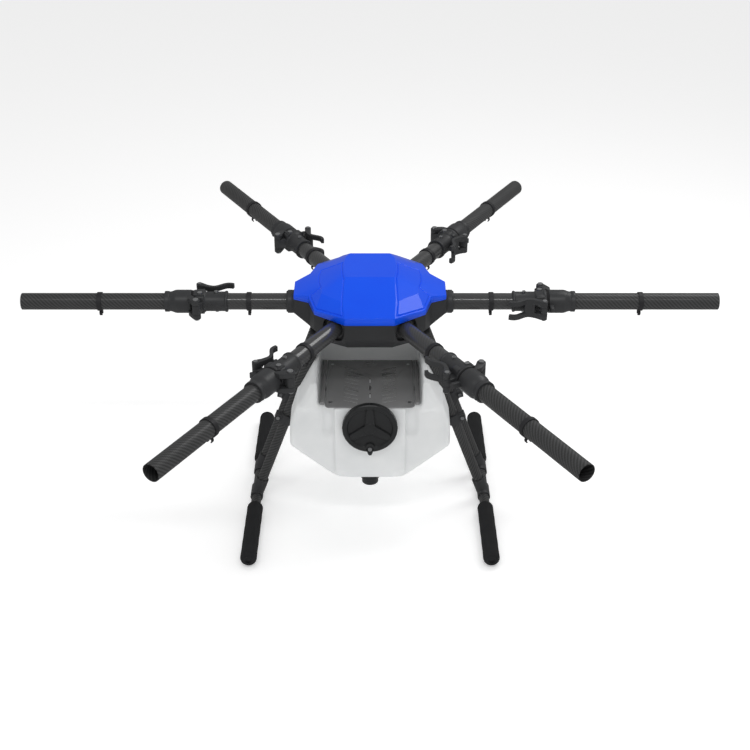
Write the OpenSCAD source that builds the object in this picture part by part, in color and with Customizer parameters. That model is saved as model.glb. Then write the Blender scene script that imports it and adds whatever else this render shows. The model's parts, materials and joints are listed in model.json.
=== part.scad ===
// Folding six-arm spray drone airframe with a slide-in liquid tank, in millimetres.
// +Z is up, the front (the filler cap) faces -Y, and the origin is on the floor
// below the middle of the frame. Arm number 0 points along +X and the arms are
// numbered counterclockwise.

/* [Arms] */
// Height of the arm tubes' centre line above the floor
arm_z = 540; // [540:1:560]
// Distance from the middle of the frame to the open end of each arm
arm_reach = 835; // [780:5:900]
// Outer diameter of the arm tubes
tube_d = 40; // [38:0.5:40]
// Wall thickness of the arm tubes
tube_wall = 1.5; // [1:0.25:2]
// Distance from the middle of the frame to the folding hinge pins
hinge_r = 412; // [412:1:420]
// Sideways distance from the arm's centre line to its hinge pin
hinge_side = 42; // [41:1:44]
// Diameter of the folding hinge pin
hinge_pin_d = 8; // [6:1:9]
// Distance from the middle to the inner hose clips
inner_clip_r = 290; // [250:5:320]
// Distance from the middle to the outer hose clips
outer_clip_r = 648; // [560:5:760]

/* [Body] */
// Half of the body's width across the side arm sockets
body_half_x = 181; // [178:1:182]
// Half of the body's length from front face to rear face
body_half_y = 167; // [160:1:170]
// Wall thickness of the moulded covers
cover_wall = 3; // [2:0.5:4]
// Height of the seam between the covers, from the arms' centre line
seam_z = 22; // [22:1:24]
// Depth of the lower shell below the arms' centre line
shell_drop = 50; // [46:1:50]
// Height of the cover's top above the arms' centre line
cover_rise = 84; // [76:1:90]

/* [Landing gear] */
// Outer diameter of the leg and skid tubes
leg_d = 25; // [22:1:25]
// Half of the distance between the two skids
skid_x = 290; // [280:5:300]
// How far the skid tubes reach behind the middle
skid_rear = 305; // [290:5:320]
// Outer diameter of the foam sleeves, which stand on the floor
foam_d = 40; // [36:1:44]
// Length of each foam sleeve
foam_len = 225; // [180:5:225]
// Distance of each leg from the middle, towards the front or the rear
leg_y = 55; // [52:1:60]

/* [Tank] */
// Front face of the tank, measured forwards from the middle
tank_front = 183; // [176:1:190]
// Rear face of the tank
tank_rear = 135; // [120:5:150]
// Wall thickness of the tank
tank_wall = 3; // [2:0.5:4]
// Diameter of the filler cap
cap_d = 131; // [120:1:134]
// Height of the filler cap's centre above the floor
cap_z = 304; // [298:1:306]
// Width of the battery tray
tray_w = 211; // [190:1:216]
// Length of the battery tray
tray_len = 223; // [200:1:224]

/* [Hidden] */
$fn = 64;
arm_count = 6;
arm_pitch = 360 / arm_count;

// Clearances: a glued or clamped seat, a running fit, and two separate pieces
seat = 0.05;
run_fit = 0.05;
gap = 0.3;
past = 1;        // how far a cutter runs past the face that it cuts

tube_r = tube_d / 2;
bore_r = tube_r - tube_wall;
passage_r = bore_r - 2;   // wire passage through the joints

// Arm layout, as distances from the middle of the frame
tube_start = 76;
clamp_r = [82, 122];
clamp_half = 28;
side_arms = [0, 3];
corner_arms = [1, 2, 4, 5];
collar_r = [body_half_x + 0.2, 200];
arch_start = 152;      // the corner arms leave the shell through sunk round arches
arch_rad = 31;
lip_r = [arch_start + 0.2, arch_start + 8];
sleeve_r = [343, 395];
block_r = [395, hinge_r + 9.5];
inner_tube_end = hinge_r + 4;
outer_face_r = hinge_r + 15;
outer_sleeve_end = outer_face_r + 40;
outer_cone_end = outer_face_r + 53;
outer_joint_end = outer_face_r + 64;
outer_tube_start = outer_face_r + 6;

// Hinge and latch
knuckle_rad = 10;
knuckle_half = 12;
hinge_half = 24;
lever_pivot = [hinge_r + 1, -47];
lever_pin_rad = 3;
lever_half = 24;
lever_lug = 8;      // half height of the lug that the lever's root straddles
lever_slot = 11;    // half height of the slot between the lever's prongs
block_bolt = [hinge_r - 6, 9, 25.5];   // seat of the big screw on the hinge block

// Plates
plate_t = 2;
plate_half = 21.1;
middle_post = [9, 12];   // radius, and height above the arms' plane

// Legs lean outwards from the shell to the skids
leg_top = [130, arm_z - 85];
foam_rad = foam_d / 2;
skid_z = foam_rad;
leg_run = [skid_x - leg_top[0], leg_top[1] - skid_z];
leg_angle = atan2(leg_run[0], leg_run[1]);
leg_len = norm(leg_run);
leg_rad = leg_d / 2;
leg_bore = leg_rad - 1.5;
rail_z = 244;
skid_reach = [skid_rear, skid_rear + 27];   // how far the skids reach back and forward
clamp_along = (leg_top[1] - rail_z) / cos(leg_angle);
clamp_ring_rad = 16.5;

// Tank sections, as half widths and heights above the floor
tank_foot = 146;
tank_top = arm_z - 84;
side_top = 412;
tray_z = 352;
bay_half = 122;
bay_rear = 42;
tray_t = 3;
tray_mid = (bay_rear - 2 - tank_front) / 2;
flare_back = 78;
belly = [[0, tank_foot], [56, tank_foot], [102, 172], [184, rail_z], [164, 306],
         [127, side_top], [114, 440], [98, tank_top], [0, tank_top]];
flare = [[0, tank_foot], [56, tank_foot], [90, 155], [193, 238], [192, 294],
         [153, 400], [140, side_top], [0, side_top]];
cap_rad = cap_d / 2;
neck_rad = 44;
ring_rad = 60;         // raised ring round the neck that the seal sits on
neck_out = 6;
cap_back = tank_front + neck_out + 0.4;
cap_depth = 12;
drain_y = -148;
drain_drop = 26;

// Right half of the body's outline, from the front face round to the rear face
outline = [[57, -body_half_y], [129, -112], [145, -52], [body_half_x, -34],
           [body_half_x, 34], [145, 52], [129, 112], [67, body_half_y]];

// Places of the screws that hold the top cover: x, y and whether a post carries it
post_places = [[75, -92], [-75, -92], [75, 80], [-75, 80]];
post_top = [57, 57, 66, 66];
lobe_places = [[164, 24.5], [-164, -24.5]];

function flip(p) = [for (i = [len(p) - 1 : -1 : 0]) [-p[i][0], p[i][1]]];

module on_arm(i) {
    rotate([0, 0, arm_pitch * i]) translate([0, 0, arm_z]) children();
}

module every_arm() {
    for (i = [0 : arm_count - 1]) on_arm(i) children();
}

// A cylinder along X between two distances from the middle
module rod_x(from, to, rad) {
    translate([from, 0, 0]) rotate([0, 90, 0]) cylinder(h = to - from, r = rad);
}

module rod_y(from, to, rad) {
    translate([0, from, 0]) rotate([-90, 0, 0]) cylinder(h = to - from, r = rad);
}

module pipe_x(from, to, rad, hole) {
    difference() {
        rod_x(from, to, rad);
        rod_x(from - past, to + past, hole);
    }
}

// A solid whose section in X and Z is the children, from y = front to y = back
module extrude_y(front, back) {
    translate([0, back, 0]) rotate([90, 0, 0]) linear_extrude(back - front) children();
}

module both_sides() {
    children();
    mirror([1, 0, 0]) children();
}

// The four legs: x mirrored, and front and rear
module every_leg() {
    for (fore = [-1, 1]) both_sides() translate([0, fore * leg_y, 0]) children();
}

// Puts children, drawn down along -Z from the leg's top end, on the leg's line
module down_leg() {
    translate([leg_top[0], 0, leg_top[1]]) rotate([0, -leg_angle, 0]) children();
}

/* ---------- body ---------- */

module body_plan(inset) {
    offset(delta = -inset) polygon(concat(outline, flip(outline)));
}

// Convex envelope of the lower shell. A positive up raises its top, to cut it open.
module shell_envelope(inset, up) {
    floor_z = -shell_drop + inset;
    hull() {
        translate([0, 0, -14]) linear_extrude(14 + seam_z + up) body_plan(inset);
        translate([0, 0, floor_z]) linear_extrude(1)
            polygon([[52 - inset, -138 + inset], [98 - inset, -112 + inset],
                     [140 - inset, -34], [140 - inset, 34], [98 - inset, 112 - inset],
                     [52 - inset, 138 - inset], [-52 + inset, 138 - inset],
                     [-98 + inset, 112 - inset], [-140 + inset, 34],
                     [-140 + inset, -34], [-98 + inset, -112 + inset],
                     [-52 + inset, -138 + inset]]);
    }
}

module shell_block(inset, up) {
    intersection() {
        shell_envelope(inset, up);
        translate([0, 0, -shell_drop - past]) linear_extrude(2 * shell_drop + 40)
            body_plan(inset);
    }
}

module socket_boss() {
    intersection() {
        rod_x(148, body_half_x, 30);
        translate([140, -35, -35]) cube([50, 70, 35 + seam_z - gap]);
    }
}

// Bowl with an opening for each arm and a middle post that keeps the wiring in a ring
module lower_shell() {
    color("#33363a") difference() {
        union() {
            translate([0, 0, arm_z]) difference() {
                shell_block(0, 0);
                shell_block(cover_wall, past);
            }
            intersection() {
                translate([0, 0, arm_z]) shell_block(0, 0);
                for (i = corner_arms) on_arm(i)
                    rod_x(arch_start - 10, body_half_x, arch_rad + cover_wall);
            }
            for (i = side_arms) on_arm(i) socket_boss();
            translate([0, 0, arm_z - shell_drop + past])
                cylinder(h = shell_drop + middle_post[1], r = middle_post[0]);
        }
        for (i = corner_arms) on_arm(i) rod_x(arch_start, body_half_x + past, arch_rad);
        every_arm() rod_x(130, body_half_x + past, tube_r + gap);
        translate([0, 0, arm_z]) for (p = lobe_places)
            translate([p[0], p[1], 6]) cylinder(h = 20, r = 2 + seat);
    }
}

module cover_envelope(inset) {
    top = cover_rise - inset;
    hull() {
        translate([0, 0, seam_z + gap - past * (inset > 0 ? 1 : 0)]) linear_extrude(6)
            body_plan(inset);
        translate([0, 0, 39 - inset]) linear_extrude(1)
            polygon([[57 - inset, -body_half_y + inset], [126 - inset, -90],
                     [143 - inset, -52], [150 - inset, 0], [145 - inset, 52],
                     [119 - inset, 112 - inset], [67 - inset, 158 - inset],
                     [-67 + inset, 158 - inset], [-119 + inset, 112 - inset],
                     [-145 + inset, 52], [-150 + inset, 0], [-143 + inset, -52],
                     [-126 + inset, -90], [-57 + inset, -body_half_y + inset]]);
        translate([0, 0, 59 - inset]) linear_extrude(1)
            polygon([[60 - inset, -118 + inset], [112 - inset, -60], [120 - inset, 20],
                     [97 - inset, 98 - inset], [66 - inset, 130 - inset],
                     [-66 + inset, 130 - inset], [-97 + inset, 98 - inset],
                     [-120 + inset, 20], [-112 + inset, -60], [-60 + inset, -118 + inset]]);
        translate([0, 0, top - 1]) linear_extrude(1)
            polygon([[54, -30], [60, 40], [46, 100], [-46, 100], [-60, 40], [-54, -30]]);
    }
}

module cover_block(inset) {
    intersection() {
        cover_envelope(inset);
        translate([0, 0, seam_z - past]) linear_extrude(cover_rise + past)
            body_plan(inset);
    }
}

module top_cover() {
    color("#0a50f0") translate([0, 0, arm_z]) difference() {
        cover_block(0);
        cover_block(cover_wall);
        for (p = concat(post_places, lobe_places)) translate([p[0], p[1], seam_z])
            cylinder(h = cover_rise, r = 2.2);
        for (i = [0 : 3]) translate([post_places[i][0], post_places[i][1], post_top[i] + 1])
            cylinder(h = cover_rise, r = 5);
        for (p = lobe_places) translate([p[0], p[1], 34]) cylinder(h = cover_rise, r = 5);
    }
}

module pan_screw(length) {
    cylinder(h = 2.6, r = 4);
    translate([0, 0, -length]) cylinder(h = length, r = 2);
}

module cover_screws() {
    color("silver") translate([0, 0, arm_z]) {
        for (i = [0 : 3])
            translate([post_places[i][0], post_places[i][1], post_top[i] + 1.2])
                pan_screw(12);
        for (p = lobe_places) translate([p[0], p[1], 34.2]) pan_screw(24);
    }
}

// Posts on the upper plate that the cover's screws go into
module cover_posts() {
    base = plate_half + plate_t + seat;
    color("#2b2d30") translate([0, 0, arm_z]) for (i = [0 : 3])
        translate([post_places[i][0], post_places[i][1], base]) difference() {
            cylinder(h = post_top[i] - 4 - base, r = 5);
            translate([0, 0, post_top[i] - 4 - base - 14]) cylinder(h = 15, r = 2 + seat);
        }
}

module plate(z) {
    color("#1d1f21") translate([0, 0, arm_z + z]) linear_extrude(plate_t) difference() {
        circle(r = 128, $fn = 12);
        circle(r = 34);
        for (i = [0 : arm_count - 1]) rotate(arm_pitch * i) {
            for (x = [88, 116]) for (y = [-22, 22]) translate([x, y]) circle(r = 2.2);
            rotate(arm_pitch / 2) {
                translate([64, 0]) circle(r = 14);
                translate([100, 0]) circle(r = 2.2);
            }
        }
    }
}

module upper_plate() {
    plate(plate_half);
}

module lower_plate() {
    plate(-plate_half - plate_t);
}

module plate_spacers() {
    color("#8f959b") translate([0, 0, arm_z - plate_half + seat])
        for (i = [0 : arm_count - 1]) rotate(arm_pitch * (i + 0.5)) translate([100, 0, 0])
            cylinder(h = 2 * (plate_half - seat), r = 6, $fn = 6);
}

module arm_root_clamps() {
    color("#4b4f54") every_arm() difference() {
        translate([clamp_r[0], -clamp_half, -plate_half + seat])
            cube([clamp_r[1] - clamp_r[0], 2 * clamp_half, 2 * (plate_half - seat)]);
        rod_x(clamp_r[0] - past, clamp_r[1] + past, tube_r + seat);
    }
}

// Collars close the sockets: stepped ones on the side arms, plain lips in the arches
module arm_collars() {
    color("#26282b") {
        for (i = side_arms) on_arm(i) difference() {
            union() {
                rod_x(collar_r[0], collar_r[1], 25.5);
                rod_x(collar_r[0], collar_r[1] - 3, 28);
            }
            rod_x(collar_r[0] - past, collar_r[1] + past, tube_r + seat);
        }
        for (i = corner_arms) on_arm(i) pipe_x(lip_r[0], lip_r[1], 24, tube_r + seat);
    }
}

module power_board() {
    color("#1e5b3a") translate([0, 0, arm_z - plate_half + 4]) difference() {
        translate([-42, -30, 0]) cube([84, 60, 3]);
        for (x = [-37, 37]) for (y = [-25, 25]) translate([x, y, -past])
            cylinder(h = 5, r = 1.6);
        translate([0, 0, -past]) cylinder(h = 5, r = middle_post[0] + 3);
    }
}

module flight_controller() {
    color("#17191b") translate([0, 0, arm_z + plate_half + plate_t + seat]) {
        translate([-30, -20, 0]) cube([60, 40, 16]);
        translate([-24, -14, 16 + seat]) cube([48, 28, 3]);
    }
}

/* ---------- arms ---------- */

module inner_tubes() {
    color("#232527") every_arm() difference() {
        pipe_x(tube_start, inner_tube_end, tube_r, bore_r);
        translate([368, 0, -tube_d]) cylinder(h = 2 * tube_d, r = 2.6);
    }
}

// Half of the folding joint that stays with the body
module inner_joint() {
    difference() {
        union() {
            rod_x(sleeve_r[0], sleeve_r[1] + past, 23.5);
            rod_x(sleeve_r[0] - 2, sleeve_r[0] + 4, 25.5);
            rod_x(block_r[0], block_r[1], 28);
            translate([block_r[0], -24, -24]) cube([block_r[1] - block_r[0], 48, 48]);
            translate([hinge_r - knuckle_rad, 20, -knuckle_half])
                cube([2 * knuckle_rad, hinge_side - 20, 2 * knuckle_half]);
            translate([hinge_r, hinge_side, -knuckle_half])
                cylinder(h = 2 * knuckle_half, r = knuckle_rad);
            lever_lug();
        }
        rod_x(sleeve_r[0] - 3, inner_tube_end, tube_r + seat);
        rod_x(inner_tube_end - past, block_r[1] + past, passage_r);
        translate([hinge_r, hinge_side, -knuckle_half - past])
            cylinder(h = 2 * (knuckle_half + past), r = hinge_pin_d / 2 + seat);
        translate([lever_pivot[0], lever_pivot[1], -lever_lug - past])
            cylinder(h = 2 * (lever_lug + past), r = lever_pin_rad + seat);
        translate([368, 0, -30]) cylinder(h = 60, r = 2.6);
        translate(block_bolt) cylinder(h = 10, r = 6.2);
        translate(block_bolt - [0, 0, 5.1]) cylinder(h = 6, r = 2.5 + seat);
    }
}

module lever_lug() {
    translate([lever_pivot[0] - 8, lever_pivot[1], -lever_lug])
        cube([16, 27, 2 * lever_lug]);
    translate([lever_pivot[0], lever_pivot[1], -lever_lug])
        cylinder(h = 2 * lever_lug, r = 8);
}

module inner_joints() {
    color("#2a2c2f") every_arm() inner_joint();
}

// Rubber rings in the joints' gap, notched for the inner knuckle
module joint_seals() {
    color("#0e0f10") every_arm() difference() {
        pipe_x(block_r[1] + 0.1, outer_face_r - gap, 26, passage_r);
        translate([hinge_r - knuckle_rad, 20 - gap, -knuckle_half - gap])
            cube([2 * knuckle_rad + gap, knuckle_rad, 2 * (knuckle_half + gap)]);
    }
}

module hinge_pins() {
    color("silver") every_arm() translate([hinge_r, hinge_side, 0]) {
        translate([0, 0, -hinge_half - 3]) cylinder(h = 2 * hinge_half + 6, r = hinge_pin_d / 2);
        for (side = [0, 1]) mirror([0, 0, side]) translate([0, 0, hinge_half + gap])
            cylinder(h = 3, r = 6.5);
    }
}

module lever_pins() {
    color("silver") every_arm() translate([lever_pivot[0], lever_pivot[1], 0]) {
        translate([0, 0, -lever_half - 2]) cylinder(h = 2 * lever_half + 4, r = lever_pin_rad);
        for (side = [0, 1]) mirror([0, 0, side]) translate([0, 0, lever_half + seat])
            cylinder(h = 2, r = 5);
    }
}

// A bolt with a socket head on top and a nut below
module through_bolt(half) {
    translate([0, 0, -half - 3]) cylinder(h = 2 * half + 4, r = 2.5);
    translate([0, 0, half]) difference() {
        cylinder(h = 4, r = 4.3);
        translate([0, 0, 2]) cylinder(h = 3, r = 2, $fn = 6);
    }
    translate([0, 0, -half - 3]) cylinder(h = 3, r = 4.5, $fn = 6);
}

module frame_bolts() {
    color("silver") {
        every_arm() {
            translate([368, 0, 0]) through_bolt(23.7);
            translate(block_bolt + [0, 0, seat]) cylinder(h = 3.4, r = 5.8);
            translate(block_bolt - [0, 0, 5]) cylinder(h = 5 + 2 * seat, r = 2.5);
        }
        every_leg() down_leg() translate([leg_rad + 9, 0, -clamp_along])
            rotate([90, 0, 0]) through_bolt(clamp_ring_rad - 6 + seat);
    }
}

// A band round the tube with an open C below it that holds the spray hose
module tube_clip(r) {
    hose_z = -tube_r - 9;
    translate([r - 5.5, 0, 0]) rotate([90, 0, 90]) linear_extrude(11) difference() {
        circle(r = tube_r + 2.6);
        circle(r = tube_r + seat);
    }
    translate([r - 3.5, 0, 0]) rotate([90, 0, 90]) linear_extrude(7) difference() {
        union() {
            translate([-4, -tube_r - 6]) square([8, 5]);
            translate([0, hose_z]) circle(r = 8);
        }
        translate([0, hose_z]) circle(r = 5);
        translate([-3.5, hose_z - 12]) square([7, 12]);
    }
}

module inner_hose_clips() {
    color("#1c1d1f") every_arm() tube_clip(inner_clip_r);
}

// Half of the folding joint that turns with the outer tube
module outer_joint(i) {
    color("#2a2c2f") on_arm(i) difference() {
        union() {
            rod_x(outer_face_r, outer_sleeve_end, 28);
            translate([outer_sleeve_end, 0, 0]) rotate([0, 90, 0])
                cylinder(h = outer_cone_end - outer_sleeve_end, r1 = 28, r2 = 23.5);
            rod_x(outer_cone_end, outer_joint_end, 25);
            for (side = [0, 1]) mirror([0, 0, side]) {
                translate([hinge_r, hinge_side - knuckle_rad, knuckle_half + gap])
                    cube([outer_face_r - hinge_r + 9, 2 * knuckle_rad,
                          hinge_half - knuckle_half - gap]);
                translate([hinge_r, hinge_side, knuckle_half + gap])
                    cylinder(h = hinge_half - knuckle_half - gap, r = knuckle_rad);
                translate([outer_face_r, 0, knuckle_half + gap])
                    cube([24, hinge_side, hinge_half - knuckle_half - gap]);
            }
            translate([outer_face_r + 0.5, -50, -6]) cube([10, 30, 12]);
        }
        rod_x(outer_tube_start, outer_joint_end + past, tube_r + seat);
        rod_x(outer_face_r - past, outer_tube_start + past, passage_r);
        translate([hinge_r, hinge_side, -hinge_half - past])
            cylinder(h = 2 * (hinge_half + past), r = hinge_pin_d / 2 + run_fit);
    }
}

module outer_tube(i) {
    color("#232527") on_arm(i) pipe_x(outer_tube_start + seat, arm_reach, tube_r, bore_r);
}

module hose_clip(i) {
    color("#1c1d1f") on_arm(i) tube_clip(outer_clip_r);
}

// Wave-shaped lever in plan: [distance, side, radius] of each round along it
lever_rounds = [[lever_pivot[0], lever_pivot[1], 8], [396, -38.5, 5.5], [378, -32, 4.8],
                [366, -36, 4.5], [353, -48, 4.5], [341, -51.5, 4.5], [330, -47, 4.5]];

module lever_plan() {
    for (k = [0 : len(lever_rounds) - 2]) hull() for (j = [k, k + 1])
        translate([lever_rounds[j][0], lever_rounds[j][1]])
            circle(r = lever_rounds[j][2], $fn = 32);
}

// Its root straddles the lug, and a slot parts the handle into two prongs
module latch_lever(i) {
    color("#303236") on_arm(i) difference() {
        translate([0, 0, -lever_half]) linear_extrude(2 * lever_half) lever_plan();
        translate([lever_pivot[0], lever_pivot[1], -lever_lug - gap])
            cylinder(h = 2 * (lever_lug + gap), r = 14.5);
        translate([368 - 60, -70, -lever_slot]) cube([60, 50, 2 * lever_slot]);
        translate([368, 0, 0]) rod_y(-70, -20, lever_slot);
        translate([lever_pivot[0], lever_pivot[1], -lever_half - past])
            cylinder(h = 2 * (lever_half + past), r = lever_pin_rad + run_fit);
    }
}

/* ---------- landing gear ---------- */

module leg_tubes() {
    color("#2a2c2e") every_leg() down_leg() translate([0, 0, -leg_len + leg_rad + 4])
        difference() {
            cylinder(h = leg_len - leg_rad - 4, r = leg_rad);
            translate([0, 0, -past]) cylinder(h = leg_len, r = leg_bore);
        }
}

module leg_brackets() {
    top = arm_z - shell_drop - 0.2;
    color("#232527") every_leg() difference() {
        union() {
            down_leg() translate([0, 0, -12]) cylinder(h = 24, r = 16.5);
            translate([leg_top[0] - 30, -17, top - 24]) cube([42, 34, 24]);
        }
        down_leg() translate([0, 0, -15]) cylinder(h = 15, r = leg_rad + seat);
        translate([0, -30, top]) cube([200, 60, 40]);
        for (y = [-11, 11]) translate([leg_top[0] - 24, y, top - 30])
            cylinder(h = 40, r = 2.2);
    }
}

module leg_clamps() {
    inner_x = 187.4;
    color("#202224") every_leg() difference() {
        union() {
            down_leg() translate([0, 0, -clamp_along - 13]) cylinder(h = 26, r = clamp_ring_rad);
            down_leg() translate([leg_rad, -clamp_ring_rad + 6, -clamp_along - 9])
                cube([16, 2 * clamp_ring_rad - 12, 18]);
            translate([inner_x, -8, rail_z - 8]) cube([12, 16, 20]);
        }
        down_leg() translate([0, 0, -clamp_along - 30]) cylinder(h = 60, r = leg_rad + seat);
        down_leg() translate([leg_rad + 9, 0, -clamp_along]) rotate([90, 0, 0])
            translate([0, 0, -30]) cylinder(h = 60, r = 2.6);
        down_leg() translate([leg_rad, -0.6, -clamp_along - 15]) cube([20, 1.2, 30]);
    }
}

// Angled rails between the front and rear legs. The tank's lower edges slide on them.
module tank_rails() {
    low = [150, rail_z - 30.2];
    color("#3a3d41") both_sides() extrude_y(-flare_back + 3, leg_y + 40)
        polygon([[184.4, rail_z + 12], [187.3, rail_z + 12], [187.3, rail_z - 1.5],
                 [low[0] + 2, low[1] - 4], [low[0], low[1] - 1.2], [184.4, rail_z - 0.4]]);
}

module skid_tubes() {
    color("#2a2c2e") both_sides() translate([skid_x, 0, skid_z]) difference() {
        rod_y(-skid_reach[1], skid_reach[0], leg_rad);
        rod_y(-skid_reach[1] - past, skid_reach[0] + past, leg_bore);
    }
}

module skid_tees() {
    sleeve = leg_rad + 3.5;
    color("#1f2123") every_leg() difference() {
        union() {
            translate([skid_x, 0, skid_z]) rod_y(-24, 24, sleeve);
            down_leg() translate([0, 0, -leg_len]) cylinder(h = 46, r = sleeve);
        }
        translate([skid_x, 0, skid_z]) rod_y(-25, 25, leg_rad + seat);
        down_leg() translate([0, 0, -leg_len + leg_rad + 4 - seat])
            cylinder(h = 60, r = leg_rad + seat);
    }
}

module foam_sleeves() {
    end_round = 14;
    color("#1b1c1d") both_sides() for (side = [0, 1]) mirror([0, side, 0])
        translate([skid_x, skid_reach[side] + 8 - foam_len, skid_z]) rotate([-90, 0, 0])
            rotate_extrude() difference() {
                union() {
                    translate([0, end_round]) square([foam_rad, foam_len - 2 * end_round]);
                    square([foam_rad - end_round, foam_len]);
                    for (y = [end_round, foam_len - end_round])
                        translate([foam_rad - end_round, y]) circle(r = end_round);
                }
                translate([-foam_rad, -past]) square([foam_rad, foam_len + 2]);
                translate([0, -past]) square([leg_rad + seat, foam_len + 2]);
            }
}

module skid_end_caps() {
    color("#151617") both_sides() for (side = [0, 1]) mirror([0, side, 0])
        translate([skid_x, 0, skid_z]) {
            rod_y(skid_reach[side] - 12, skid_reach[side] + seat, leg_bore - seat);
            rod_y(skid_reach[side] + seat, skid_reach[side] + 3, leg_rad - 0.2);
        }
}

/* ---------- tank ---------- */

module section(half, inset) {
    offset(delta = -inset) polygon(concat(half, flip(half)));
}

module tank_solid(inset) {
    intersection() {
        union() {
            extrude_y(-flare_back - (inset > 0 ? 8 : 0), tank_rear - inset)
                section(belly, inset);
            extrude_y(-tank_front + inset, -flare_back - inset) section(flare, inset);
        }
        rotate([90, 0, 90]) translate([0, 0, -200]) linear_extrude(400)
            offset(delta = -inset) polygon([[-tank_front + 10, tank_foot],
                [-tank_front, 172], [-tank_front, side_top], [tank_rear - 60, tank_top + 9],
                [tank_rear - 12, tank_top + 9], [tank_rear, tank_top - 10],
                [tank_rear, 240], [tank_rear - 70, tank_foot]]);
        linear_extrude(tank_top + 20) offset(delta = -inset)
            polygon([[-84, -tank_front], [84, -tank_front], [94, -tank_front + 8],
                     [182, -tank_front + 8], [196, -tank_front + 24], [196, tank_rear - 60],
                     [120, tank_rear], [-120, tank_rear], [-196, tank_rear - 60],
                     [-196, -tank_front + 24], [-182, -tank_front + 8],
                     [-94, -tank_front + 8]]);
    }
}

// Space for the battery on top of the tank, open to the front and above
module battery_bay(grow) {
    translate([-bay_half - grow, -tank_front - gap, tray_z - grow])
        cube([2 * (bay_half + grow), tank_front + gap + bay_rear + grow, 200]);
}

module tank() {
    color("#f2f4f3") difference() {
        tank_solid(0);
        battery_bay(0);
        difference() {
            tank_solid(tank_wall);
            battery_bay(tank_wall);
        }
        translate([0, 0, cap_z]) rod_y(-tank_front - 20, -tank_front + tank_wall + past, neck_rad);
        translate([0, drain_y, tank_foot - 5]) cylinder(h = 12, r = 12);
    }
}

// Raised ring welded round the filler neck. The cap's seal closes on it.
module neck_ring() {
    color("#f2f4f3") translate([0, 0, cap_z]) difference() {
        rod_y(-tank_front - neck_out, -tank_front - seat, ring_rad);
        rod_y(-tank_front - neck_out - past, -tank_front + past, neck_rad);
    }
}

module tray_slots() {
    for (side = [-1, 1]) for (k = [0 : 9])
        translate([side * 46, -tray_len / 2 + 26 + k * 17, 0]) rotate(side * 24)
            square([38, 5], center = true);
    for (y = [-60, -25, 10]) translate([0, y]) square([4, 22], center = true);
}

module tray_plan() {
    difference() {
        hull() for (x = [-1, 1]) {
            translate([x * (tray_w / 2 - 10), -tray_len / 2 + 10]) circle(r = 10);
            translate([x * (tray_w / 2 - 3), tray_len / 2 - 3]) circle(r = 3);
        }
        tray_slots();
        translate([0, tray_len / 2 - 14]) square([20, 8], center = true);
    }
}

module at_tray_screws() {
    for (x = [-94, 94]) for (y = [-90, 90]) translate([x, tray_mid + y, tray_z + 0.1])
        children();
}

// The four screws sit sunk, so that the battery rests on a flat face
module battery_tray() {
    color("#6a6d70") difference() {
        translate([0, tray_mid, tray_z + 0.1]) linear_extrude(tray_t) tray_plan();
        at_tray_screws() {
            translate([0, 0, -past]) cylinder(h = tray_t + 2 * past, r = 2 + seat);
            translate([0, 0, tray_t / 2]) cylinder(h = tray_t, r = 4 + seat);
        }
    }
}

// Strips along both sides of the bay that guide the battery
module tray_side_rails() {
    color("#5b5e61") both_sides() translate([tray_w / 2 + 2, -tank_front + 14, tray_z + 0.1])
        cube([10, tray_len - 20, 7]);
}

module tray_screws() {
    color("silver") at_tray_screws() {
        translate([0, 0, tray_t / 2 + seat]) cylinder(h = tray_t / 2 - 2 * seat, r = 4);
        translate([0, 0, seat]) cylinder(h = tray_t / 2 + seat, r = 2);
    }
}

// Basket inside the filler neck that catches grit
module strainer() {
    basket = neck_rad - gap;
    color("#3c6fb5") translate([0, 0, cap_z]) difference() {
        rod_y(-tank_front - neck_out + 4, -tank_front + 48, basket);
        rod_y(-tank_front - neck_out, -tank_front + 46, basket - 2);
        for (a = [0 : 30 : 150]) rotate([0, a, 0])
            for (y = [-170, -156, -142]) translate([-70, y, -4]) cube([140, 8, 8]);
    }
}

module drain_outlet() {
    color("#141516") translate([0, drain_y, 0]) difference() {
        union() {
            translate([0, 0, tank_foot - 10]) cylinder(h = 9.9, r = 24);
            translate([0, 0, tank_foot - drain_drop]) cylinder(h = drain_drop - 5, r = 20);
            translate([0, 0, tank_foot - 5]) cylinder(h = 7.9, r = 12 - seat);
        }
        translate([0, 0, tank_foot - drain_drop + 6]) cylinder(h = drain_drop + 20, r = 8);
    }
}

module cap_seal() {
    color("#0c0c0d") translate([0, 0, cap_z]) difference() {
        rod_y(-cap_back - 1.6, -cap_back, 58);
        rod_y(-cap_back - 3, -cap_back + past, 52.5);
    }
}

// Screw lid: a thick rim, three sunk pockets that leave a grip, and a locking tab
module filler_cap() {
    face = -cap_back - cap_depth;
    color("#202224") translate([0, 0, cap_z]) difference() {
        union() {
            rod_y(face, -cap_back + 3, cap_rad);
            translate([-9, -cap_back - 7, -cap_rad - 10]) cube([18, 7, 20]);
        }
        rod_y(-cap_back - 1.8, -cap_back + 4, 61);
        for (a = [90, 210, 330]) rotate([0, a, 0]) rotate([90, 0, 0])
            translate([0, 0, -face - 7]) linear_extrude(8) difference() {
                circle(r = 52);
                rotate(30) translate([-60, -60]) square([70, 120]);
                rotate(-30) translate([-60, -60]) square([70, 120]);
            }
        translate([0, 0, -cap_rad + 10]) rod_y(face - past, face + 6, 3.2);
    }
}

module cap_bolt() {
    face = -cap_back - cap_depth;
    color("silver") translate([0, 0, cap_z - cap_rad + 10]) {
        rod_y(face - 3, face - seat, 5);
        rod_y(face - seat, face + 5, 3);
    }
}

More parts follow.
